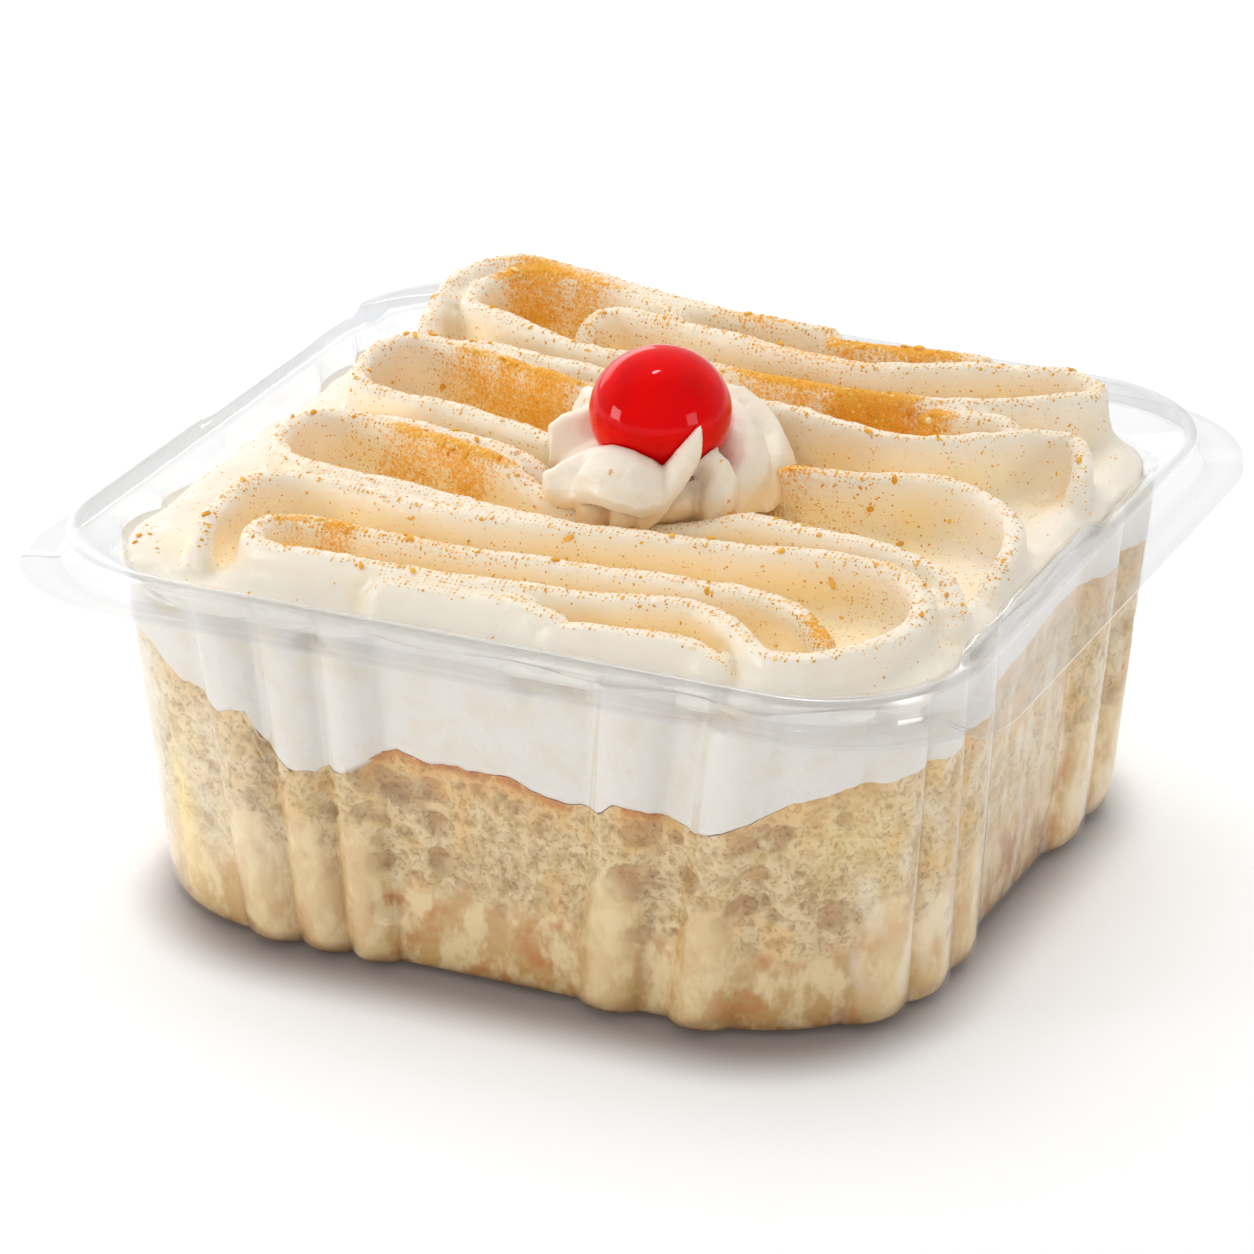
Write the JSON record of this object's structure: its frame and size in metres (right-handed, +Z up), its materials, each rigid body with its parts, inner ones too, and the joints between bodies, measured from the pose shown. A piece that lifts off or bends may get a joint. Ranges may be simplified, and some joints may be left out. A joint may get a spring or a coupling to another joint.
{
  "type": "tres leches cake in a clear tub",
  "caption": "Milk-soaked sponge cake under whipped cream piped in standing folds, dusted with cinnamon, with a rosette and a cherry, in its clear ribbed tub.",
  "frame": {"origin": "middle of the tub's underside", "axes": "+Z up out of the tub, +X along its longer side, -Y towards the broad front wall"},
  "size_m": [0.14, 0.1258, 0.0738],
  "materials": {
    "clear_plastic": "clear thin thermoformed plastic, glossy",
    "sponge_crumb": "open yellow crumb, soaked and glossy towards the base",
    "whipped_cream": "smooth white cream pressed against plastic",
    "piped_cream": "soft ivory cream dusted with cinnamon",
    "rosette_cream": "bright white whipped cream",
    "cherry_skin": "glossy candied red"
  },
  "bodies": {
    "root": {"tub": "clear_plastic", "sponge": "sponge_crumb", "cream_layer": "whipped_cream", "cream_ribbon": "piped_cream", "rosette": "rosette_cream", "cherry": "cherry_skin"}
  },
  "joints": []
}
